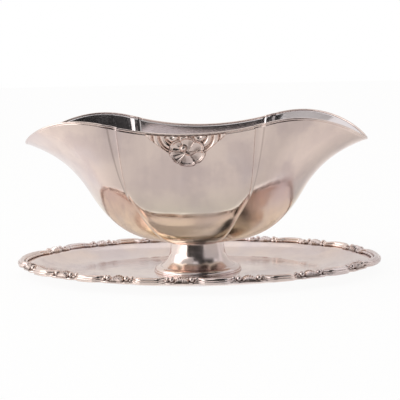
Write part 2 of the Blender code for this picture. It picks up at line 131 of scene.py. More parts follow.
MOUNT_ROWS = 84

# Stand
STAND_LENGTH = TRAY_HIGH[0] - TRAY_LOW[0]
STAND_WIDTH = 166.0 * MM
STAND_SHEET = 1.0 * MM
FLANGE_WIDTH = 10.5 * MM
WELL_LENGTH = 144.0 * MM
WELL_WIDTH = 96.0 * MM
LOBE_RISE = 1.8 * MM
END_LOBE_RISE = 2.4 * MM
NOTCH_DEPTH = 1.9 * MM
NOTCH_WIDTH = 2.4 * MM
BOSS_FOOT_RADIUS = 16.5 * MM
BOSS_TOP_RADIUS = 14.5 * MM
BOSS_HEIGHT = 4.0 * MM
STUD_HOLE_RADIUS = 2.4 * MM
CLUSTER_ANGLES = (20.2, 41.3, 65.1)
CLUSTER_LENGTH = 21.0 * MM
BORDER_OVERHANG = 0.6 * MM
STAND_STATIONS_PER_LOBE = 36

# Border: each rod of the moulding by radius, inset, height of its middle and bend at its ends
MOULDING_RODS = ((1.8 * MM, 2.5 * MM, 1.1 * MM, 1.3 * MM),
                 (0.9 * MM, 5.2 * MM, 0.7 * MM, 0.6 * MM),
                 (0.9 * MM, 0.5 * MM, 0.4 * MM, 0.4 * MM))
MOULDING_STEPS = 40
MOULDING_SIDES = 18
MOULDING_LAP = 1.6 * MM
# Painted shade on the moulding: its strength, and the height above the flange where it ends
MOULDING_SHADE = 0.50
MOULDING_SHADE_HEIGHT = 1.8 * MM
HOOK_LENGTH = 6.0 * MM
SHELL_HALF_WIDTH = 4.4 * MM
SHELL_DEPTH = 7.6 * MM
SHELL_HEIGHT = 3.4 * MM
SHELL_FLUTES = 5
SHELL_COLUMNS = 41
SHELL_ROWS = 25
# Height of a shell's relief above which no painted shade is left
SHELL_SHADE_HEIGHT = 2.6 * MM
CLUSTER_LIFT = 0.1 * MM
CLUSTER_ROOT = 0.2 * MM
# Balls of a cluster: distance along the edge, inset, height and half sizes
CLUSTER_BEADS = ((5.9 * MM, 3.0 * MM, 1.3 * MM, (1.7 * MM, 1.9 * MM, 2.0 * MM)),
                 (8.9 * MM, 4.0 * MM, 1.2 * MM, (1.6 * MM, 1.5 * MM, 1.7 * MM)),
                 (6.6 * MM, 6.6 * MM, 0.6 * MM, (2.3 * MM, 0.9 * MM, 1.1 * MM)),
                 (9.4 * MM, 0.9 * MM, 0.6 * MM, (1.5 * MM, 0.8 * MM, 1.0 * MM)))
BEAD_LEAN = 0.35
BEAD_SIDES = 16
# Height above the flange where the painted shade on the balls ends
BEAD_SHADE_HEIGHT = 2.2 * MM

# Foot
PEDESTAL_WAIST_RADIUS = 16.8 * MM
PEDESTAL_FOOT_RADIUS = 23.9 * MM
PEDESTAL_WALL = 1.3 * MM
PEDESTAL_TOP_BORE = 12.0 * MM
PEDESTAL_SEAT = 0.1 * MM
# Outline of the pedestal from the top down: share of its height, share of its flare
PEDESTAL_HEIGHTS = (1.0, 0.88, 0.73, 0.52, 0.41, 0.30, 0.21, 0.13, 0.06, 0.0)
PEDESTAL_FLARES = (-0.045, 0.0, 0.06, 0.15, 0.23, 0.34, 0.46, 0.61, 0.78, 0.95)
PEDESTAL_CURVE_STEPS = 6
FOOT_RING_RADIUS = 27.9 * MM
FOOT_RING_BORE = 21.5 * MM
FOOT_RING_BEAD = 0.45 * MM
FOOT_RING_LEDGE_WIDTH = 0.35 * MM
FOOT_RING_LEDGE_DEPTH = 0.25 * MM
TURNING_STEPS = 160

# Hidden fixing
STUD_RADIUS = 2.0 * MM
STUD_FLANGE_THICKNESS = 1.5 * MM
THREAD_PITCH = 0.7 * MM
THREAD_DEPTH = 0.35 * MM
THREAD_ROWS_PER_TURN = 8
THREAD_SIDES = 32
NUT_CHAMFER = 0.35 * MM
NUT_SIDES = 72

# Camera, placed from the photograph
CAMERA_DISTANCE = 0.840
CAMERA_HEIGHT = 0.1524
CAMERA_AZIMUTH = 6.95
CAMERA_TILT = 7.24
CAMERA_PAN = -0.163
CAMERA_ROLL = -1.40
CAMERA_FOCAL_PIXELS = 1330.0
IMAGE_PIXELS = 400.0
SENSOR_WIDTH_MM = 36.0

# Stage: a floor, and cards that only the silver sees, each by name, the bearings of its ends
# from the camera's side and the elevations of its edges, in degrees, and how pale it is
FLOOR_HALF_SIZE = 3.0
FLOOR_WHITE_SHARE = 0.92
FLOOR_COLOR = (0.92, 0.91, 0.90, 1.0)
TENT_COLOR = (1.0, 0.98, 0.965, 1.0)
TENT_STRENGTH = 0.85
WHITE = (1.0, 1.0, 1.0, 1.0)
LAMP_SIZE = (1.2, 0.9)
LAMP_WATTS = 4.2
LAMP_PLACE = (-0.85, -0.35, 0.55)
LAMP_AIM = (0.0, 0.0, 0.04)
CARD_DISTANCE = 1.3
CARDS = (("dark_card_front", -12, 34, 3, 42, 0.03),
         ("dark_card_front_low", -40, -12, 3, 22, 0.03),
         ("grey_card_right", 36, 105, 3, 25, 0.62),
         ("dark_card_above", 8, 78, 26, 84, 0.02),
         ("grey_card_left", -88, -13, 24, 74, 0.60),
         ("pale_card_back", 120, 240, 2, 30, 0.80))
# Grey paper on the floor round the stand: how pale it is at each bearing, and where it lies
PAPER_BEARINGS = (-90, -35, 40, 60, 90, 120, 150)
PAPER_TONES = (1.0, 0.70, 0.70, 0.84, 1.0, 0.76, 1.0)
PAPER_NEAR = (0.122, 0.100)
PAPER_FAR = (1.30, 1.30)
PAPER_STEP = 5


# Shader maths

class Value:
    """A socket of a node tree that takes part in arithmetic."""

    def __init__(self, tree, socket):
        self.tree = tree
        self.socket = socket

    def math(self, operation, *others):
        return self.tree.node("ShaderNodeMath", {"operation": operation}, [self, *others])

    def __add__(self, other):
        return self.math("ADD", other)

    def __radd__(self, other):
        return self.math("ADD", other)

    def __sub__(self, other):
        return self.math("SUBTRACT", other)

    def __rsub__(self, other):
        return self.tree.node("ShaderNodeMath", {"operation": "SUBTRACT"}, [other, self])

    def __mul__(self, other):
        return self.math("MULTIPLY", other)

    def __rmul__(self, other):
        return self.math("MULTIPLY", other)

    def clamp(self):
        return self.tree.node("ShaderNodeClamp", {}, [self])

    def smooth(self, low, high):
        """0 below low, 1 above high, eased between."""
        return self.tree.node("ShaderNodeMapRange", {"interpolation_type": "SMOOTHSTEP"},
                              {"Value": self, "From Min": low, "From Max": high})


class Tree:
    """A material's or the world's node tree, filled by expressions."""

    def __init__(self, owner):
        owner.use_nodes = True
        self.tree = owner.node_tree
        self.tree.nodes.clear()

    def node(self, kind, settings=None, inputs=None, output=0):
        made = self.tree.nodes.new(kind)
        for key, value in (settings or {}).items():
            setattr(made, key, value)
        pairs = inputs.items() if isinstance(inputs, dict) else enumerate(inputs or [])
        for key, value in pairs:
            if isinstance(value, Value):
                self.tree.links.new(value.socket, made.inputs[key])
            elif value is not None:
                made.inputs[key].default_value = value
        if not made.outputs:
            return made
        return Value(self, made.outputs[output])

    def noise(self, place, scale, detail):
        settings = {"Vector": place, "Scale": scale, "Detail": detail, "Roughness": 0.6}
        return self.node("ShaderNodeTexNoise", {}, settings)

    def mix_color(self, share, first, second):
        settings = {"data_type": "RGBA", "blend_type": "MIX"}
        colors = [value if isinstance(value, Value) else (*value, 1.0) for value in (first, second)]
        return self.node("ShaderNodeMix", settings, {0: share, 6: colors[0], 7: colors[1]}, output=2)


# Materials

def silver(name, polish, haze, shaded_hollows=False, lined=False):
    """Polished silver: tarnish clouds, cool patches, wiping streaks and a painted warm reflection of the
    stand low down.
    Where asked, hollows get painted shade and the inside of a vessel is a cooler grey."""
    material = bpy.data.materials.new(name)
    tree = Tree(material)
    place = tree.node("ShaderNodeTexCoord", output=3)
    clouds = tree.noise(place, 30.0, 5.0)
    stains = tree.noise(place, 150.0, 4.0)
    wiped = tree.node("ShaderNodeMapping", {}, {"Vector": place, "Scale": (75.0, 75.0, 11.0)})
    streaks = tree.noise(wiped, 1.0, 4.0)
    rubbed = tree.node("ShaderNodeMapping", {}, {"Vector": place, "Scale": (260.0, 2600.0, 900.0),
                                                 "Rotation": (0.3, 0.2, 0.5)})
    rubbing = tree.noise(rubbed, 1.0, 2.0)
    tarnish = (clouds.smooth(0.42, 0.62) * 0.55 + streaks.smooth(0.42, 0.66) * 0.30
               + stains.smooth(0.5, 0.75) * 0.15)
    height = tree.node("ShaderNodeSeparateXYZ", {}, [place], output=2)
    # Painted reflection: a warm band low on the bowl and the top of the pedestal stands for the stand
    # reflected there
    low_reflection = (1.0 - (height + (clouds - 0.5) * 0.02).smooth(0.026, 0.064)) * height.smooth(0.018, 0.024)
    cool = tree.noise(place, 16.0, 3.0).smooth(0.46, 0.64)
    color = tree.mix_color(tarnish, SILVER_CLEAN, SILVER_TONED)
    color = tree.mix_color(cool * 0.55, color, SILVER_COOL)
    # Painted reflection of the stand, mixed in low down
    color = tree.mix_color(low_reflection * 0.85, color, SILVER_WARM_REFLECTION)
    if lined:
        within = tree.node("ShaderNodeAttribute", {"attribute_name": "inside"}, output=2)
        color = tree.mix_color(within * 0.8, color, SILVER_INSIDE)
    roughness = polish + tarnish * haze + rubbing.smooth(0.45, 0.80) * (0.4 * haze)
    # Painted shade: hollows and the low parts of castings are darkened toward the recess colour
    if shaded_hollows:
        depth = tree.node("ShaderNodeAttribute", {"attribute_name": "hollow_shade"}, output=2)
        color = tree.mix_color(depth.smooth(0.30, 1.0) * 0.85, color, SILVER_RECESS_SHADE)
        roughness = roughness + depth * 0.10
    bump_height = rubbing * 0.35 + stains * 0.65
    normal = tree.node("ShaderNodeBump", {}, {"Strength": 0.012, "Distance": 0.0004, "Height": bump_height})
    shader = tree.node("ShaderNodeBsdfPrincipled", {}, {
        "Base Color": color, "Roughness": roughness, "Metallic": 1.0, "Normal": normal})
    tree.node("ShaderNodeOutputMaterial", {}, {"Surface": shader})
    return material


def plain_steel(name):
    """Steel of the hidden fixing, with turning marks and a little grime."""
    material = bpy.data.materials.new(name)
    tree = Tree(material)
    place = tree.node("ShaderNodeTexCoord", output=3)
    turned = tree.node("ShaderNodeMapping", {}, {"Vector": place, "Scale": (300.0, 300.0, 9000.0)})
    marks = tree.noise(turned, 1.0, 3.0)
    grime = tree.noise(place, 420.0, 4.0)
    color = tree.mix_color(grime.smooth(0.45, 0.72), (0.52, 0.52, 0.53), (0.34, 0.32, 0.30))
    roughness = 0.26 + marks.smooth(0.4, 0.7) * 0.12 + grime.smooth(0.45, 0.72) * 0.15
    normal = tree.node("ShaderNodeBump", {}, {"Strength": 0.15, "Distance": 0.0002, "Height": marks})
    shader = tree.node("ShaderNodeBsdfPrincipled", {}, {
        "Base Color": color, "Roughness": roughness, "Metallic": 1.0, "Normal": normal})
    tree.node("ShaderNodeOutputMaterial", {}, {"Surface": shader})
    return material


SILVER_CLEAN = (0.84, 0.70, 0.635)
SILVER_TONED = (0.66, 0.545, 0.525)
SILVER_COOL = (0.74, 0.655, 0.665)
# Colour of the painted reflection of the stand, mixed in low down
SILVER_WARM_REFLECTION = (0.82, 0.755, 0.605)
SILVER_INSIDE = (0.75, 0.715, 0.735)
# Colour of the painted shade in hollows and low relief
SILVER_RECESS_SHADE = (0.17, 0.12, 0.10)
POLISHED = silver("polished_silver", 0.09, 0.14)
RAISED = silver("raised_silver", 0.09, 0.14, shaded_hollows=True, lined=True)
TURNED = silver("turned_silver", 0.14, 0.12)
CAST = silver("cast_silver", 0.09, 0.12, shaded_hollows=True)
STEEL = plain_steel("plain_steel")


# Mesh helpers

def linked(name, data):
    """A new object in the scene."""
    made = bpy.data.objects.new(name, data)
    bpy.context.scene.collection.objects.link(made)
    return made


def new_piece(name, vertices, faces, material, smooth_angle):
    mesh = bpy.data.meshes.new(name)
    mesh.from_pydata([tuple(v) for v in vertices], [], faces)
    mesh.materials.append(material)
    mesh.shade_smooth()
    mesh.set_sharp_from_angle(angle=math.radians(smooth_angle))
    return linked(name, mesh)


def strip_faces(columns, rows, closed, start=0):
    """Quads of a grid stored column after column."""
    faces = []
    for i in range(columns if closed else columns - 1):
        j = (i + 1) % columns
        for k in range(rows - 1):
            faces.append((start + i * rows + k, start + j * rows + k,
                          start + j * rows + k + 1, start + i * rows + k + 1))
    return faces


def grid_border(columns, rows):
    """Indices round the edge of a grid that is stored column after column."""
    border = [i * rows for i in range(columns)] + [(columns - 1) * rows + k for k in range(1, rows)]
    return border + [i * rows + rows - 1 for i in range(columns - 2, -1, -1)] + list(range(rows - 2, 0, -1))


def store_shares(piece, name, values):
    attribute = piece.data.attributes.new(name, "FLOAT", "POINT")
    attribute.data.foreach_set("value", [min(1.0, max(0.0, value)) for value in values])


def join_pieces(name, pieces):
    bm = bmesh.new()
    for piece in pieces:
        bm.from_mesh(piece.data)
    mesh = bpy.data.meshes.new(name)
    bm.to_mesh(mesh)
    bm.free()
    mesh.materials.append(pieces[0].data.materials[0])
    mesh.shade_smooth()
    joined = linked(name, mesh)
    for piece in pieces:
        bpy.data.objects.remove(piece, do_unlink=True)
    return joined


def outward_normals(piece):
    bm = bmesh.new()
    bm.from_mesh(piece.data)
    bmesh.ops.remove_doubles(bm, verts=bm.verts, dist=1e-7)
    bmesh.ops.recalc_face_normals(bm, faces=bm.faces)
    bm.to_mesh(piece.data)
    bm.free()


def settle(piece):
    """Turns the evaluated piece into a plain mesh and drops its modifiers."""
    evaluated = piece.evaluated_get(bpy.context.evaluated_depsgraph_get())
    mesh = bpy.data.meshes.new_from_object(evaluated)
    piece.modifiers.clear()
    piece.data = mesh


def place_piece(piece, slot, *nodes):
    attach(piece, "root")
    if nodes:
        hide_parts(*nodes)


def thicken(piece, thickness):
    sheet = piece.modifiers.new("sheet", "SOLIDIFY")
    sheet.thickness = thickness
    sheet.offset = -1.0
    sheet.use_even_offset = True
    settle(piece)


def cubic(p0, p1, p2, p3, t):
    s = 1.0 - t
    weights = (s * s * s, 3 * s * s * t, 3 * s * t * t, t * t * t)
    return tuple(sum(w * v for w, v in zip(weights, values)) for values in zip(p0, p1, p2, p3))


def ease(share):
    share = min(max(share, 0.0), 1.0)
    return share * share * (3.0 - 2.0 * share)


def ridge(distance, width):
    return math.exp(-(distance / width) ** 2)


# Bowl

def rim_toward_tip(t):
    rib = (RIB_X, RIB_Y, RIB_RISE)
    crest = (RIB_X + RIB_SWEEP, RIB_Y + RIB_SPREAD, RIB_RISE + CREST_PULL)
    nose = (TIP_X, TIP_FULLNESS, TIP_RISE)
    tip = (TIP_X, 0.0, TIP_RISE)
    return cubic(rib, crest, nose, tip, t)


def rim_toward_side(t):
    share = (1.0 - t) ** 2
    return (RIB_X * (1.0 - t), SIDE_Y + (RIB_Y - SIDE_Y) * share,
            SIDE_RISE + (RIB_RISE - SIDE_RISE) * share)


def meridian_point(controls, v):
    if v <= 0.5:
        return cubic(*controls[0:4], 2.0 * v)
    return cubic(*controls[3:7], 2.0 * v - 1.0)


def blend_controls(first, second, share):
    return [tuple(a + (b - a) * share for a, b in zip(p, q)) for p, q in zip(first, second)]


def meridian_at(toward_tip, t):
    """Meridian between the rib and the far end of a panel; a square panel keeps its own longer."""
    if toward_tip:
        return blend_controls(RIB_MERIDIAN, SPOUT_MERIDIAN, 1.0 - (1.0 - t) ** LOBE_SQUARENESS)
    return blend_controls(RIB_MERIDIAN, SIDE_MERIDIAN, 1.0 - (1.0 - t) ** PANEL_SQUARENESS)


def flute_half_width(v):
    """The flute at each rib narrows from the rim down to a crease."""
    return FLUTE_HALF_WIDTH * (FLUTE_FOOT_SHARE + (1.0 - FLUTE_FOOT_SHARE) * ease((v - 0.35) / 0.65))


SPOUT_SPEED = 3.0 * math.hypot(RIB_SWEEP, RIB_SPREAD)


def bowl_point(toward_tip, t, v, signs):
    """Point of the bowl's outer face, with the flute pressed in at the rib."""
    rim = rim_toward_tip(t) if toward_tip else rim_toward_side(t)
    reach, rise = meridian_point(meridian_at(toward_tip, t), v)
    rim_radius = math.hypot(rim[0], rim[1])
    radius = BOWL_BASE_RADIUS + (rim_radius - BOWL_BASE_RADIUS) * reach
    across = t * (SPOUT_SPEED if toward_tip else RIB_X) / flute_half_width(v)
    if across < 1.0:
        radius -= FLUTE_DEPTH * (1.0 - across * across) * reach * flute_half_width(v) / FLUTE_HALF_WIDTH
    return Vector((signs[0] * radius * rim[0] / rim_radius,
                   signs[1] * radius * rim[1] / rim_radius,
                   BOWL_BOTTOM + rim[2] * rise))


def quarter_stations():
    """Places of one quarter from tip to side: a share of the flute, then a share of the rest."""
    stations = [(True, "rest", 1.0 - i / SPOUT_STATIONS) for i in range(SPOUT_STATIONS)]
    stations += [(True, "flute", 1.0 - i / FLUTE_STATIONS) for i in range(FLUTE_STATIONS)]
    stations += [(False, "flute", i / FLUTE_STATIONS) for i in range(FLUTE_STATIONS + 1)]
    stations += [(False, "rest", (i + 1) / SIDE_STATIONS) for i in range(SIDE_STATIONS)]
    return stations


def station_t(station, v):
    toward_tip, zone, share = station
    edge = flute_half_width(v) / (SPOUT_SPEED if toward_tip else RIB_X)
    return edge * share if zone == "flute" else edge + (1.0 - edge) * share


def bowl_stations():
    quarter = quarter_stations()
    around = [(station, (1, 1)) for station in quarter]
    around += [(station, (-1, 1)) for station in reversed(quarter[:-1])]
    around += [(station, (-1, -1)) for station in quarter[1:]]
    around += [(station, (1, -1)) for station in reversed(quarter[1:-1])]
    return around


def flute_shade(station, v):
    """Painted shade along both edges of a flute."""
    zone, share = station[1:]
    if zone != "flute":
        return 0.0
    return FLUTE_SHADE * ridge(share - 0.8, 0.22) * ease((v - 0.20) / 0.30)


def make_bowl():
    stations = bowl_stations()
    rows = BOWL_ROWS + 1
    vertices, hollow_shade = [], []
    for station, signs in stations:
        for k in range(rows):
            v = 1.0 - k / BOWL_ROWS
            vertices.append(bowl_point(station[0], station_t(station, v), v, signs))
            # Painted shade along the flute edges
            hollow_shade.append(flute_shade(station, v))
    faces = strip_faces(len(stations), rows, True)
    faces.append([i * rows + rows - 1 for i in range(len(stations))])
    bowl = new_piece("raised_bowl", vertices, faces, RAISED, 25.0)
    store_shares(bowl, "hollow_shade", hollow_shade)
    bm = bmesh.new()
    bm.from_mesh(bowl.data)
    bmesh.ops.recalc_face_normals(bm, faces=bm.faces)
    bm.faces.ensure_lookup_table()
    if bm.faces[-1].normal.z > 0.0:
        bmesh.ops.reverse_faces(bm, faces=bm.faces)
    bm.to_mesh(bowl.data)
    bm.free()
    thicken(bowl, BOWL_WALL)
    outer = len(vertices)
    store_shares(bowl, "inside", [0.0] * outer + [1.0] * (len(bowl.data.vertices) - outer))
    place_piece(bowl, "polished_silver", "bowl")


def surface_frame(toward_tip, t, v, signs):
    """Point, outward normal and the direction up the sheet, square to the rim."""
    step = 0.004
    point = bowl_point(toward_tip, t, v, signs)
    upward = (point - bowl_point(toward_tip, t, v - step, signs)).normalized()
    if t + step > 1.0:
        along = Vector((0.0, 1.0, 0.0)) if toward_tip else Vector((1.0, 0.0, 0.0))
    else:
        before = bowl_point(toward_tip, max(t - step, 0.0), v, signs)
        along = (bowl_point(toward_tip, t + step, v, signs) - before).normalized()
    normal = along.cross(upward).normalized()
    if normal.dot(Vector((point.x, point.y, 0.0))) < 0.0:
        normal.negate()
    return point, normal, (upward - along * upward.dot(along)).normalized()


# Pieces grown by node trees

def join_sockets(tree, joins):
    """Links sockets of a tree, each join given as node, output, node, input."""
    for source, output, target, entry in joins:
        tree.links.new(source.outputs[output], target.inputs[entry])


def tree_with_inputs(name, geometry, sockets):
    """A geometry tree, its input node and the identifiers of its named inputs."""
    tree = bpy.data.node_groups.new(name, "GeometryNodeTree")
    tree.interface.new_socket(geometry, in_out="INPUT", socket_type="NodeSocketGeometry")
    inputs = {label: tree.interface.new_socket(label, in_out="INPUT", socket_type=kind).identifier
              for label, kind in sockets}
    tree.interface.new_socket("Casting", in_out="OUTPUT", socket_type="NodeSocketGeometry")
    return tree, tree.nodes.new("NodeGroupInput"), inputs


def named_attribute(tree, name, kind):
    node = tree.nodes.new("GeometryNodeInputNamedAttribute")
    node.data_type = kind
    node.inputs["Name"].default_value = name
    return node


def finish_tree(tree, source, made, output):
    """Realizes and smooths what a node makes, gives it the finish and sends it out."""
    for kind in ("GeometryNodeRealizeInstances", "GeometryNodeSetShadeSmooth", "GeometryNodeSetMaterial"):
        step = tree.nodes.new(kind)
        join_sockets(tree, [(made, output, step, "Geometry")])
        made, output = step, "Geometry"
    result = tree.nodes.new("NodeGroupOutput")
    join_sockets(tree, [(source, "Finish", made, "Material"), (made, "Geometry", result, "Casting")])


def grow(name, mesh, tree, settings):
    """Runs a tree on a mesh and keeps the result as a plain piece."""
    piece = linked(name, mesh)
    modifier = piece.modifiers.new("grow", "NODES")
    modifier.node_group = tree
    for identifier, value in settings.items():
        modifier[identifier] = value
    settle(piece)
    return piece


def sweep_tree(name):
    """Sweeps a round rod along the edges of a mesh, lifted from them, by each point's share."""
    tree, source, inputs = tree_with_inputs(name, "Path", (
        ("Rod radius", "NodeSocketFloat"), ("Rod sides", "NodeSocketInt"),
        ("Lift", "NodeSocketFloat"), ("Finish", "NodeSocketMaterial")))
    offset = tree.nodes.new("ShaderNodeCombineXYZ")
    lifted = tree.nodes.new("GeometryNodeSetPosition")
    to_curve = tree.nodes.new("GeometryNodeMeshToCurve")
    circle = tree.nodes.new("GeometryNodeCurvePrimitiveCircle")
    share = named_attribute(tree, "share", "FLOAT")
    sweep = tree.nodes.new("GeometryNodeCurveToMesh")
    sweep.inputs["Fill Caps"].default_value = True
    join_sockets(tree, [(source, "Path", lifted, "Geometry"), (source, "Lift", offset, "Z"),
                        (offset, "Vector", lifted, "Offset"), (lifted, "Geometry", to_curve, "Mesh"),
                        (source, "Rod radius", circle, "Radius"), (source, "Rod sides", circle, "Resolution"),
                        (to_curve, "Curve", sweep, "Curve"), (circle, "Curve", sweep, "Profile Curve"),
                        (share, "Attribute", sweep, "Scale")])
    finish_tree(tree, source, sweep, "Mesh")
    return tree, inputs


def sweep_rods(name, paths, closed, radius, sides, lift, material, shares):
    """Mesh of rods along each path of points; shares scale the rod from point to point."""
    vertices, edges = [], []
    for path in paths:
        first = len(vertices)
        vertices += [tuple(p) for p in path]
        edges += [(first + i, first + i + 1) for i in range(len(path) - 1)]
        if closed:
            edges.append((len(vertices) - 1, first))
    mesh = bpy.data.meshes.new(name)
    mesh.from_pydata(vertices, edges, [])
    mesh.attributes.new("share", "FLOAT", "POINT").data.foreach_set("value", shares)
    tree, inputs = sweep_tree(name + "_sweep")
    return grow(name, mesh, tree, {inputs["Rod radius"]: radius, inputs["Rod sides"]: sides,
                                   inputs["Lift"]: lift, inputs["Finish"]: material})


def make_rim_wire():
    path = []
    for station, signs in bowl_stations():
        point, normal, in_sheet = surface_frame(station[0], station_t(station, 1.0), 1.0, signs)
        path.append(point - normal * BOWL_WALL / 2 + in_sheet * RIM_WIRE_PROUD)
    wire = sweep_rods("rim_wire", [path], True, RIM_WIRE_RADIUS, RIM_WIRE_SIDES, 0.0, POLISHED,
                      [1.0] * len(path))
    outward_normals(wire)
    place_piece(wire, "polished_silver", "bowl_rim_wire")


# Flower mounts

def petal_at(turn):
    """Place across the petal that lies under a direction, from -1 to 1."""
    gaps = [((turn - angle + 180.0) % 360.0) - 180.0 for angle in PETAL_ANGLES]
    nearest = min(range(len(gaps)), key=lambda i: abs(gaps[i]))
    angle = PETAL_ANGLES[nearest]
    neighbour = PETAL_ANGLES[(nearest + (1 if gaps[nearest] > 0 else -1)) % len(PETAL_ANGLES)]
    half = abs(((neighbour - angle + 180.0) % 360.0) - 180.0) / 2
    return gaps[nearest] / half


def flower_share(x, y):
    """How far out a place lies, as a share of the scalloped outline, and its place across a petal."""
    wide, tall = (x - FLOWER_SHIFT) / FLOWER_HALF_WIDTH, y / FLOWER_HALF_HEIGHT
    across = petal_at(math.degrees(math.atan2(tall, wide)))
    scallop = 0.84 + 0.16 * math.sqrt(max(0.0, 1.0 - across * across))
    return math.hypot(wide, tall) / scallop, across


def flower_height(x, y):
    """Dished petals with rolled edges, each lifted over the next, and fine veins."""
    share, across = flower_share(x, y)
    if share > 1.0:
        return 0.0
    rolled = 0.75 * ridge(share - 0.93, 0.07)
    dish = 0.30 + 0.55 * (share - 0.55) ** 2 / 0.2
    lap = 0.26 * across + 0.30 * ridge(across - 0.86, 0.12) * ease(share / 0.5)
    veins = 0.04 * math.cos(9.0 * across) * ease((share - 0.3) / 0.2) * ease((0.85 - share) / 0.1)
    return MM * max(0.12, dish + rolled + lap + veins) * ease((1.0 - share) / 0.03)


def bud_height(x, y):
    """Round bud left of the middle, with a horn that curls from under it to the right."""
    off = math.hypot(x - BUD_X, y - BUD_Y) / BUD_RADIUS
    bud = BUD_HEIGHT * math.sqrt(max(0.0, 1.0 - off * off))
    along = (x - BUD_X) / (HORN_TIP_X - BUD_X)
    if not 0.0 < along < 1.0:
        return bud
    middle = BUD_Y - HORN_SAG * math.sin(math.pi * along ** 0.7)
    taper = math.sqrt(1.0 - along)
    return max(bud, HORN_HEIGHT * taper * ridge(y - middle, HORN_RADIUS * taper))


def leaf_low_edge(x):
    """Lower outline of a leaf fan, slanting from its tip at the rim down to the flower."""
    across = min(1.0, max(0.0, (LEAF_TIP_X - abs(x)) / (LEAF_TIP_X - LEAF_ROOT_X)))
    top = FLOWER_DROP - 1.0 * MM
    return top + (LEAF_ROOT_Y - top) * across ** 0.9


def leaf_height(x, y):
    """Fan of nested curls round the place where the leaf leaves the flower at the rim."""
    out = (abs(x) - 0.8 * LEAF_ROOT_X) / (LEAF_TIP_X - 0.8 * LEAF_ROOT_X)
    down = (FLOWER_DROP - y) / (FLOWER_DROP - LEAF_ROOT_Y)
    fold = abs(math.sin(math.pi * LEAF_FOLDS * math.hypot(out, 0.62 * down)))
    margin = ease((y - leaf_low_edge(x)) / LEAF_EDGE_WIDTH)
    return LEAF_RISE * fold ** 0.85 * margin + LEAF_EDGE_RISE * (1.0 - margin)


def mount_low_edge(x):
    """Lower outline of the whole mount."""
    low = leaf_low_edge(x)
    wide = (x - FLOWER_SHIFT) / FLOWER_HALF_WIDTH
    if abs(wide) < 1.0:
        low = min(low, -FLOWER_HALF_HEIGHT * math.sqrt(1.0 - wide * wide))
    return low


def mount_height(x, y):
    """Relief over the sheet at a place in the mount's own plane."""
    bead = 0.0
    for bead_x in MOUNT_BEAD_PLACES:
        off = math.hypot(x - bead_x, y - FLOWER_DROP + MOUNT_BEAD_DROP) / MOUNT_BEAD_RADIUS
        bead = max(bead, MOUNT_BEAD_RISE * math.sqrt(max(0.0, 1.0 - off * off)))
    in_flower = flower_share(x, y)[0] <= 1.0
    ground = flower_height(x, y) if in_flower else leaf_height(x, y)
    return max(ground, bud_height(x, y), bead)


def v_at_height(t, share):
    low, high = 0.0, 1.0
    controls = meridian_at(False, t)
    for _ in range(30):
        middle = (low + high) / 2
        if meridian_point(controls, middle)[1] < share:
            low = middle
        else:
            high = middle
    return (low + high) / 2


def make_flower_mount(name, side):
    """Casting in relief on the middle of a long side, with its flat back in the sheet."""
    rows = MOUNT_ROWS + 1
    top = FLOWER_DROP - MOUNT_RIM_GAP
    front, back, hollow_shade = [], [], []
    for i in range(MOUNT_COLUMNS + 1):
        x = LEAF_TIP_X * (2.0 * i / MOUNT_COLUMNS - 1.0)
        signs = (1 if x >= 0 else -1, side)
        t = 1.0 - abs(x) / RIB_X
        rim_rise = rim_toward_side(t)[2]
        sag = rim_rise - SIDE_RISE
        for k in range(rows):
            y = top + (mount_low_edge(x) - top) * k / MOUNT_ROWS
            v = v_at_height(t, (SIDE_RISE + sag + y - FLOWER_DROP) / rim_rise)
            point, normal, _ = surface_frame(False, t, v, signs)
            edge = k in (0, MOUNT_ROWS) or i in (0, MOUNT_COLUMNS)
            height = MOUNT_EDGE if edge else MOUNT_GROUND + mount_height(-side * x, y)
            front.append(point + normal * height)
            back.append(point - normal * MOUNT_ROOT)
            # Painted shade: the lower the relief, the darker
            hollow_shade.append(1.0 - (height - MOUNT_SHADE_FROM) / MOUNT_SHADE_DEPTH)
    count = len(front)
    columns = MOUNT_COLUMNS + 1
    faces = strip_faces(columns, rows, False)
    faces += [face[::-1] for face in strip_faces(columns, rows, False, count)]
    border = grid_border(columns, rows)
    for a, b in zip(border, border[1:] + border[:1]):
        faces.append((a, b, count + b, count + a))
    mount = new_piece(name + "_casting", front + back, faces, CAST, 60.0)
    # Painted shade, full on the hidden back
    store_shares(mount, "hollow_shade", hollow_shade + [1.0] * count)
    outward_normals(mount)
    place_piece(mount, "cast_silver", name)


# Turned pieces

def turned_piece(name, profile, material, slot, node):
    """Turns a closed profile of (radius, height) listed down its outer side."""
    vertices = []
    for i in range(TURNING_STEPS):
        turn = 2.0 * math.pi * i / TURNING_STEPS
        ring = [(r * math.cos(turn), r * math.sin(turn), h) for r, h in profile]
        vertices += ring + ring[:1]
    faces = strip_faces(TURNING_STEPS, len(profile) + 1, True)
    piece = new_piece(name, vertices, faces, material, 35.0)
    outward_normals(piece)
    place_piece(piece, slot, node)


def smooth_profile(points, steps):
    """Passes a soft curve through the points."""
    curve = []
    for i in range(len(points) - 1):
        p0 = np.array(points[max(i - 1, 0)])
        p1, p2 = np.array(points[i]), np.array(points[i + 1])
        p3 = np.array(points[min(i + 2, len(points) - 1)])
        for k in range(steps):
            t = k / steps
            curve.append(tuple(0.5 * (2 * p1 + (p2 - p0) * t + (2 * p0 - 5 * p1 + 4 * p2 - p3) * t * t
                                      + (3 * p1 - p0 - 3 * p2 + p3) * t ** 3)))
    curve.append(points[-1])
    return curve


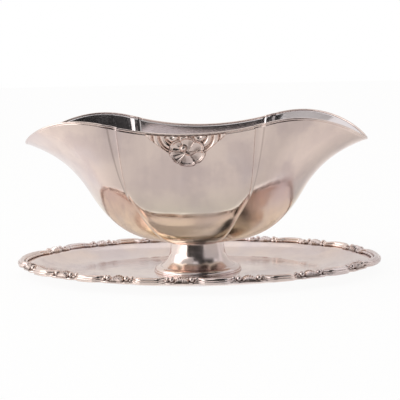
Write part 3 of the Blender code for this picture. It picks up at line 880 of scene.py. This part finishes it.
def make_pedestal():
    low, high = RING_TOP - PEDESTAL_SEAT, BOWL_BOTTOM + PEDESTAL_SEAT
    height = high - low
    flare = PEDESTAL_FOOT_RADIUS - PEDESTAL_WAIST_RADIUS
    outer = smooth_profile([(PEDESTAL_WAIST_RADIUS + flare * s, low + height * h)
                            for h, s in zip(PEDESTAL_HEIGHTS, PEDESTAL_FLARES)],
                           PEDESTAL_CURVE_STEPS)
    inner = [(r - PEDESTAL_WALL, h) for r, h in reversed(outer) if h < high - PEDESTAL_WALL]
    shelf = [(inner[-1][0], high - PEDESTAL_WALL), (PEDESTAL_TOP_BORE, high - PEDESTAL_WALL),
             (PEDESTAL_TOP_BORE, high)]
    turned_piece("spun_pedestal", outer + inner + shelf, TURNED, "polished_silver", "pedestal")


def make_foot_ring():
    low, high = TRAY_LOW[2] + STAND_SHEET - PEDESTAL_SEAT, RING_TOP
    swell = FOOT_RING_RADIUS - PEDESTAL_FOOT_RADIUS
    bead = FOOT_RING_BEAD
    outer = [(PEDESTAL_FOOT_RADIUS - FOOT_RING_LEDGE_WIDTH, high - FOOT_RING_LEDGE_DEPTH)]
    for i in range(19):
        turn = math.pi / 2 * i / 18
        outer.append((PEDESTAL_FOOT_RADIUS + (swell - bead) * math.sin(turn),
                      low + 2 * bead + (high - low - 2 * bead) * math.cos(turn)))
    for i in range(1, 12):
        turn = math.pi / 2 - math.pi * i / 12
        outer.append((FOOT_RING_RADIUS - bead + bead * math.cos(turn), low + bead + bead * math.sin(turn)))
    inner = [(FOOT_RING_BORE, low), (FOOT_RING_BORE, high - FOOT_RING_LEDGE_DEPTH)]
    turned_piece("turned_foot_ring", outer + inner, TURNED, "polished_silver", "pedestal_foot_ring")


# Hidden fixing

def make_threaded_stud():
    """Screw stud under the bowl: a soldered flange and a cut thread."""
    low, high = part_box("fixing_stud")
    under = high[2] - STUD_FLANGE_THICKNESS
    rows = round((under - low[2]) / THREAD_PITCH * THREAD_ROWS_PER_TURN)
    vertices = []
    for i in range(THREAD_SIDES):
        share = i / THREAD_SIDES
        turn = 2.0 * math.pi * share
        column = [(0.0, low[2])]
        for k in range(rows + 1):
            height = low[2] + (under - low[2]) * k / rows
            groove = abs(2.0 * ((height / THREAD_PITCH - share) % 1.0) - 1.0)
            cut = ease(min(height - low[2], under - height) / THREAD_PITCH)
            column.append((STUD_RADIUS - THREAD_DEPTH * groove * cut, height))
        column += [(high[0], under), (high[0], high[2]), (0.0, high[2])]
        vertices += [(r * math.cos(turn), r * math.sin(turn), h) for r, h in column]
    faces = strip_faces(THREAD_SIDES, len(vertices) // THREAD_SIDES, True)
    stud = new_piece("threaded_stud", vertices, faces, STEEL, 50.0)
    outward_normals(stud)
    place_piece(stud, "plain_steel", "fixing_stud")


def make_hexagon_nut():
    """Nut with its corners chamfered at both faces."""
    low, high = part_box("fixing_nut")
    flat, corner = high[1], high[0]
    vertices = []
    for i in range(NUT_SIDES):
        turn = 2.0 * math.pi * i / NUT_SIDES
        from_flat = (turn % (math.pi / 3)) - math.pi / 6
        hexagon = flat / math.cos(from_flat)
        half_way = min(hexagon, (flat + corner) / 2)
        ring = [(STUD_HOLE_RADIUS, high[2]), (flat - NUT_CHAMFER / 2, high[2]),
                (half_way, high[2] - NUT_CHAMFER / 2), (hexagon, high[2] - NUT_CHAMFER),
                (hexagon, low[2] + NUT_CHAMFER), (half_way, low[2] + NUT_CHAMFER / 2),
                (flat - NUT_CHAMFER / 2, low[2]), (STUD_HOLE_RADIUS, low[2])]
        vertices += [(r * math.cos(turn), r * math.sin(turn), h) for r, h in ring + ring[:1]]
    faces = strip_faces(NUT_SIDES, len(vertices) // NUT_SIDES, True)
    nut = new_piece("hexagon_nut", vertices, faces, STEEL, 25.0)
    outward_normals(nut)
    place_piece(nut, "plain_steel", "fixing_nut")


# Stand

def cluster_places():
    offsets = sorted([0.0] + [sign * a for a in CLUSTER_ANGLES for sign in (-1, 1)])
    return sorted(base + offset for base in (90.0, 270.0) for offset in offsets)


PLACES = cluster_places()
AROUND = PLACES + [PLACES[0] + 360.0]


def oval_point(angle, length, width):
    turn = math.radians(angle)
    return Vector((length / 2 * math.cos(turn), width / 2 * math.sin(turn), 0.0))


def lobe_length(start, end):
    chords = 24
    points = [oval_point(start + (end - start) * i / chords, STAND_LENGTH, STAND_WIDTH)
              for i in range(chords + 1)]
    return sum((q - p).length for p, q in zip(points, points[1:]))


LOBE_LENGTHS = {start: lobe_length(start, end) for start, end in zip(AROUND, AROUND[1:])}


def outline_point(angle):
    wrapped = (angle - PLACES[0]) % 360.0 + PLACES[0]
    start, end = next((a, b) for a, b in zip(AROUND, AROUND[1:]) if a <= wrapped <= b)
    share = (wrapped - start) / (end - start)
    at_end = abs(end - start - 2.0 * (90.0 - CLUSTER_ANGLES[-1])) < 0.001
    from_cluster = min(share, 1.0 - share) * LOBE_LENGTHS[start]
    notch = math.exp(-((from_cluster - CLUSTER_LENGTH / 2) / NOTCH_WIDTH) ** 2)
    swell = (END_LOBE_RISE if at_end else LOBE_RISE) * math.sin(math.pi * share)
    lift = swell - NOTCH_DEPTH * notch
    return oval_point(angle, STAND_LENGTH + 2 * (lift - END_LOBE_RISE), STAND_WIDTH + 2 * (lift - LOBE_RISE))


def inward_at(angle):
    before, after = [oval_point(angle + turn, STAND_LENGTH, STAND_WIDTH) for turn in (-1.0, 1.0)]
    step = after - before
    return Vector((-step.y, step.x, 0.0)).normalized()


def stand_rings():
    """Rings of the stand from its edge to the stud hole: length, width and height of each."""
    floor = TRAY_LOW[2] + STAND_SHEET
    rise = FLANGE_TOP - floor
    flange = (STAND_LENGTH - 2 * FLANGE_WIDTH, STAND_WIDTH - 2 * FLANGE_WIDTH)
    rings = [(*flange, FLANGE_TOP)]
    steps = 16
    for i in range(1, steps + 1):
        share = i / steps
        drop = 1.0 - (1.0 - share) ** 2
        soften = ease(share / 0.12)
        rings.append((flange[0] + (WELL_LENGTH - flange[0]) * share,
                      flange[1] + (WELL_WIDTH - flange[1]) * share,
                      FLANGE_TOP - rise * drop * (0.4 + 0.6 * soften)))
    rings += [(2 * BOSS_FOOT_RADIUS + 4 * MM, 2 * BOSS_FOOT_RADIUS + 4 * MM, floor),
              (2 * BOSS_FOOT_RADIUS, 2 * BOSS_FOOT_RADIUS, floor)]
    for radius in (BOSS_TOP_RADIUS, STUD_HOLE_RADIUS):
        rings.append((2 * radius, 2 * radius, floor + BOSS_HEIGHT))
    return rings


def make_stand():
    angles = []
    for start, end in zip(AROUND, AROUND[1:]):
        angles += [start + (end - start) * i / STAND_STATIONS_PER_LOBE
                   for i in range(STAND_STATIONS_PER_LOBE)]
    rings = stand_rings()
    rows = len(rings) + 1
    vertices = []
    for angle in angles:
        vertices.append(outline_point(angle) + Vector((0, 0, FLANGE_TOP)))
        vertices += [oval_point(angle, length, width) + Vector((0, 0, z)) for length, width, z in rings]
    faces = strip_faces(len(angles), rows, True)
    tray = new_piece("oval_stand", vertices, faces, POLISHED, 30.0)
    if tray.data.polygons[0].normal.z < 0.0:
        tray.data.flip_normals()
    thicken(tray, STAND_SHEET)
    place_piece(tray, "polished_silver", "tray")


def hooked_path(start, end, inset, hook):
    """Path of a moulding: it bends in toward the well at both ends, where it meets the clusters."""
    length = LOBE_LENGTHS[start]
    lead = CLUSTER_LENGTH / 2 - MOULDING_LAP
    path = []
    for i in range(MOULDING_STEPS + 1):
        distance = lead + (length - 2 * lead) * i / MOULDING_STEPS
        angle = start + (end - start) * distance / length
        to_end = min(distance - lead, length - lead - distance)
        bend = inset + hook * (1.0 - ease(to_end / HOOK_LENGTH))
        path.append(outline_point(angle) + inward_at(angle) * bend + Vector((0, 0, FLANGE_TOP)))
    return path


def moulding_sizes():
    """Share of a rod's radius along a moulding: full in the middle, thinner at the hooks."""
    shares = [i / MOULDING_STEPS for i in range(MOULDING_STEPS + 1)]
    return [0.68 + 0.32 * math.sin(math.pi * share) ** 0.6 for share in shares]


def make_border_scrolls():
    """Mouldings between the clusters: a large roll with a thread on each side of it."""
    rods = []
    lobes = list(zip(AROUND, AROUND[1:]))
    for number, (radius, inset, up, hook) in enumerate(MOULDING_RODS, 1):
        paths = [hooked_path(start, end, inset, hook) for start, end in lobes]
        sizes = moulding_sizes() * len(lobes)
        rods.append(sweep_rods(f"border_rod_{number}", paths, False, radius, MOULDING_SIDES, up, CAST,
                               sizes))
    scrolls = join_pieces("border_scrolls", rods)
    # Painted shade on the moulding, darker low down toward the flange and between the rods
    store_shares(scrolls, "hollow_shade", [MOULDING_SHADE * (1.0 - (v.co.z - FLANGE_TOP) / MOULDING_SHADE_HEIGHT)
                                     for v in scrolls.data.vertices])
    outward_normals(scrolls)
    place_piece(scrolls, "cast_silver", *[f"border_scroll_{i:02d}" for i in range(1, 15)])


def cluster_frame(number, s):
    """Edge point and inward direction at a distance s along the edge from a cluster's middle."""
    place = PLACES[number]
    before = PLACES[number - 1]
    lobe = place if s > 0 else before
    end = AROUND[number + 1] if s > 0 else place + (360.0 if number == 0 else 0.0)
    angle = place + s * (end - lobe) / LOBE_LENGTHS[lobe]
    return outline_point(angle), inward_at(angle)


def shell_height(s, q):
    """Scallop shell: flutes that spread from the edge inward, on a domed back."""
    out = abs(s) / SHELL_HALF_WIDTH
    share = q / SHELL_DEPTH
    spread = s / (SHELL_HALF_WIDTH * (0.55 + 0.45 * share))
    flute = abs(math.cos(math.pi * SHELL_FLUTES / 2 * spread))
    dome = math.sqrt(max(0.0, 1.0 - (2.0 * share - 1.0) ** 2)) * math.sqrt(max(0.0, 1.0 - out ** 2))
    return SHELL_HEIGHT * dome * (0.72 + 0.28 * flute)


def make_shells():
    """One shell at the middle of each cluster, bent to the edge."""
    columns, rows = SHELL_COLUMNS, SHELL_ROWS
    vertices, faces, hollow_shade = [], [], []
    for number in range(len(PLACES)):
        first = len(vertices)
        tops, bottoms = [], []
        for i in range(columns):
            s = SHELL_HALF_WIDTH * (2.0 * i / (columns - 1) - 1.0)
            edge, inward = cluster_frame(number, s)
            for k in range(rows):
                q = SHELL_DEPTH * k / (rows - 1)
                height = shell_height(s, q)
                spot = edge + inward * (q - BORDER_OVERHANG / 2)
                tops.append(spot + Vector((0, 0, FLANGE_TOP + CLUSTER_LIFT + height)))
                bottoms.append(spot + Vector((0, 0, FLANGE_TOP - CLUSTER_ROOT)))
                # Painted shade, darker where the shell is low; the flat underside is dark
                hollow_shade.append(1.0 - height / SHELL_SHADE_HEIGHT)
        count = len(tops)
        vertices += tops + bottoms
        hollow_shade += [1.0] * count
        faces += strip_faces(columns, rows, False, first)
        faces += [face[::-1] for face in strip_faces(columns, rows, False, first + count)]
        border = grid_border(columns, rows)
        for a, b in zip(border, border[1:] + border[:1]):
            faces.append((first + a, first + b, first + count + b, first + count + a))
    shells = new_piece("shells", vertices, faces, CAST, 60.0)
    store_shares(shells, "hollow_shade", hollow_shade)
    return shells


def bead_tree():
    """Sets a stretched ball on every point, by the point's own size and turn."""
    tree, source, inputs = tree_with_inputs("beads_on_edge", "Points", (
        ("Ball sides", "NodeSocketInt"), ("Finish", "NodeSocketMaterial")))
    ball = tree.nodes.new("GeometryNodeMeshUVSphere")
    ball.inputs["Radius"].default_value = 1.0
    size = named_attribute(tree, "size", "FLOAT_VECTOR")
    turn = named_attribute(tree, "turn", "FLOAT_VECTOR")
    spread = tree.nodes.new("GeometryNodeInstanceOnPoints")
    join_sockets(tree, [(source, "Ball sides", ball, "Segments"), (source, "Ball sides", ball, "Rings"),
                        (source, "Points", spread, "Points"), (ball, "Mesh", spread, "Instance"),
                        (turn, "Attribute", spread, "Rotation"), (size, "Attribute", spread, "Scale")])
    finish_tree(tree, source, spread, "Instances")
    return tree, inputs


def make_beads():
    """Knobs, hook ends and small leaves of every cluster, as stretched balls."""
    points, sizes, turns = [], [], []
    for number in range(len(PLACES)):
        for s, q, up, size in CLUSTER_BEADS:
            for side in (-1, 1):
                edge, inward = cluster_frame(number, side * s)
                points.append(edge + inward * q + Vector((0, 0, FLANGE_TOP + up)))
                sizes += list(size)
                turns += [0.0, 0.0, math.atan2(inward.x, -inward.y) + side * BEAD_LEAN]
    mesh = bpy.data.meshes.new("beads")
    mesh.from_pydata([tuple(p) for p in points], [], [])
    mesh.attributes.new("size", "FLOAT_VECTOR", "POINT").data.foreach_set("vector", sizes)
    mesh.attributes.new("turn", "FLOAT_VECTOR", "POINT").data.foreach_set("vector", turns)
    tree, inputs = bead_tree()
    beads = grow("beads", mesh, tree, {inputs["Ball sides"]: BEAD_SIDES, inputs["Finish"]: CAST})
    # Painted shade on the balls, darker low down toward the flange
    store_shares(beads, "hollow_shade", [1.0 - (v.co.z - FLANGE_TOP) / BEAD_SHADE_HEIGHT
                                   for v in beads.data.vertices])
    return beads


def make_border_flowers():
    """Castings at the joins of the moulding: a shell between knobs, hook ends and leaves."""
    flowers = join_pieces("border_flowers", [make_shells(), make_beads()])
    outward_normals(flowers)
    place_piece(flowers, "cast_silver", *[f"border_flower_{i:02d}" for i in range(1, 15)])


# Stage, light and camera

def background_share(tree):
    """1 where the camera sees the background, directly, in a mirror or through glass."""
    seen = tree.node("ShaderNodeLightPath", output=0)
    mirrored = tree.node("ShaderNodeLightPath", output=3)
    through = tree.node("ShaderNodeLightPath", output=6)
    return (seen + mirrored + through).clamp()


def white_table():
    """White floor: the camera and the silver see it pale, with the object's soft shadow kept."""
    material = bpy.data.materials.new("white_table")
    tree = Tree(material)
    shader = tree.node("ShaderNodeBsdfPrincipled", {}, {"Base Color": FLOOR_COLOR, "Roughness": 0.9})
    glow = tree.node("ShaderNodeEmission", {}, {"Color": WHITE, "Strength": 1.0})
    share = background_share(tree) * FLOOR_WHITE_SHARE
    mixed = tree.node("ShaderNodeMixShader", {}, [share, shader, glow])
    tree.node("ShaderNodeOutputMaterial", {}, {"Surface": mixed})
    return material


def card_cloth(name, tone):
    material = bpy.data.materials.new(name)
    tree = Tree(material)
    color = (tone, tone, tone, 1.0)
    shader = tree.node("ShaderNodeBsdfPrincipled", {}, {"Base Color": color, "Roughness": 1.0})
    tree.node("ShaderNodeOutputMaterial", {}, {"Surface": shader})
    return material


def card_corner(bearing, elevation):
    bearing, elevation = math.radians(bearing), math.radians(elevation)
    level = CARD_DISTANCE * math.cos(elevation)
    return (level * math.sin(bearing), -level * math.cos(bearing), CARD_DISTANCE * math.sin(elevation))


def only_for_silver(panel):
    panel.visible_camera = False
    panel.visible_diffuse = False
    panel.visible_shadow = False


def make_floor_paper():
    """Grey paper on the floor that only the silver sees; its tone changes with the bearing."""
    bearings = range(PAPER_BEARINGS[0], PAPER_BEARINGS[-1] + 1, PAPER_STEP)
    corners, tones = [], []
    for bearing in bearings:
        turn = math.radians(bearing)
        for sideways, ahead in (PAPER_NEAR, PAPER_FAR):
            corners.append((sideways * math.sin(turn), -ahead * math.cos(turn), 1.0 * MM))
            tones.append(float(np.interp(bearing, PAPER_BEARINGS, PAPER_TONES)))
    material = bpy.data.materials.new("floor_paper")
    tree = Tree(material)
    tone = tree.node("ShaderNodeAttribute", {"attribute_name": "tone"}, output=2)
    color = tree.mix_color(tone, (0.0, 0.0, 0.0), (1.0, 1.0, 1.0))
    shader = tree.node("ShaderNodeBsdfPrincipled", {}, {"Base Color": color, "Roughness": 1.0})
    tree.node("ShaderNodeOutputMaterial", {}, {"Surface": shader})
    paper = stage_panel("floor_paper", corners, strip_faces(len(bearings), 2, False), material)
    paper.data.attributes.new("tone", "FLOAT", "POINT").data.foreach_set("value", tones)
    only_for_silver(paper)


def stage_panel(name, corners, faces, material):
    mesh = bpy.data.meshes.new(name)
    mesh.from_pydata(corners, [], faces)
    mesh.materials.append(material)
    panel = linked(name, mesh)
    return panel


def make_stage():
    half = FLOOR_HALF_SIZE
    floor = [(-half, -half, 0), (half, -half, 0), (half, half, 0), (-half, half, 0)]
    stage_panel("floor", floor, [(0, 1, 2, 3)], white_table())
    make_floor_paper()
    for name, left, right, low, high, tone in CARDS:
        corners = [card_corner(*place) for place in ((left, low), (right, low), (right, high), (left, high))]
        only_for_silver(stage_panel(name, corners, [(0, 1, 2, 3)], card_cloth(name, tone)))


def make_world():
    """White tent all round, seen as plain white by the camera and in the silver."""
    world = bpy.data.worlds.new("tent")
    bpy.context.scene.world = world
    tree = Tree(world)
    tent = tree.node("ShaderNodeBackground", {}, {"Color": TENT_COLOR, "Strength": TENT_STRENGTH})
    plain = tree.node("ShaderNodeBackground", {}, {"Color": WHITE, "Strength": 1.0})
    mixed = tree.node("ShaderNodeMixShader", {}, [background_share(tree), tent, plain])
    tree.node("ShaderNodeOutputWorld", {}, {"Surface": mixed})


def make_lamps():
    lamp = bpy.data.lights.new("left_softbox", "AREA")
    lamp.shape = "RECTANGLE"
    lamp.size, lamp.size_y = LAMP_SIZE
    lamp.energy = LAMP_WATTS
    left = linked("left_softbox", lamp)
    left.location = LAMP_PLACE
    left.rotation_euler = (Vector(LAMP_AIM) - left.location).to_track_quat("-Z", "Y").to_euler()


def make_camera():
    azimuth = math.radians(CAMERA_AZIMUTH)
    heading = math.radians(CAMERA_AZIMUTH + CAMERA_PAN)
    tilt, roll = math.radians(CAMERA_TILT), math.radians(CAMERA_ROLL)
    level_ahead = Vector((-math.sin(heading), math.cos(heading), 0.0))
    level_right = Vector((math.cos(heading), math.sin(heading), 0.0))
    up = Vector((0.0, 0.0, 1.0))
    ahead = level_ahead * math.cos(tilt) - up * math.sin(tilt)
    upward = up * math.cos(tilt) + level_ahead * math.sin(tilt)
    right = level_right * math.cos(roll) + upward * math.sin(roll)
    top = upward * math.cos(roll) - level_right * math.sin(roll)
    data = bpy.data.cameras.new("camera")
    data.sensor_width = SENSOR_WIDTH_MM
    data.lens = CAMERA_FOCAL_PIXELS * SENSOR_WIDTH_MM / IMAGE_PIXELS
    camera = linked("camera", data)
    place = Matrix((right, top, -ahead)).transposed().to_4x4()
    place.translation = (CAMERA_DISTANCE * math.sin(azimuth), -CAMERA_DISTANCE * math.cos(azimuth),
                         CAMERA_HEIGHT)
    camera.matrix_world = place
    bpy.context.scene.camera = camera


make_camera()
make_bowl()
make_rim_wire()
make_flower_mount("front_flower_mount", -1)
make_flower_mount("back_flower_mount", 1)
make_pedestal()
make_foot_ring()
make_stand()
make_border_scrolls()
make_border_flowers()
make_threaded_stud()
make_hexagon_nut()
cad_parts["fixing_washer"].data.materials.clear()
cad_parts["fixing_washer"].data.materials.append(STEEL)
make_stage()
make_world()
make_lamps()
bpy.context.scene.view_settings.view_transform = "Standard"
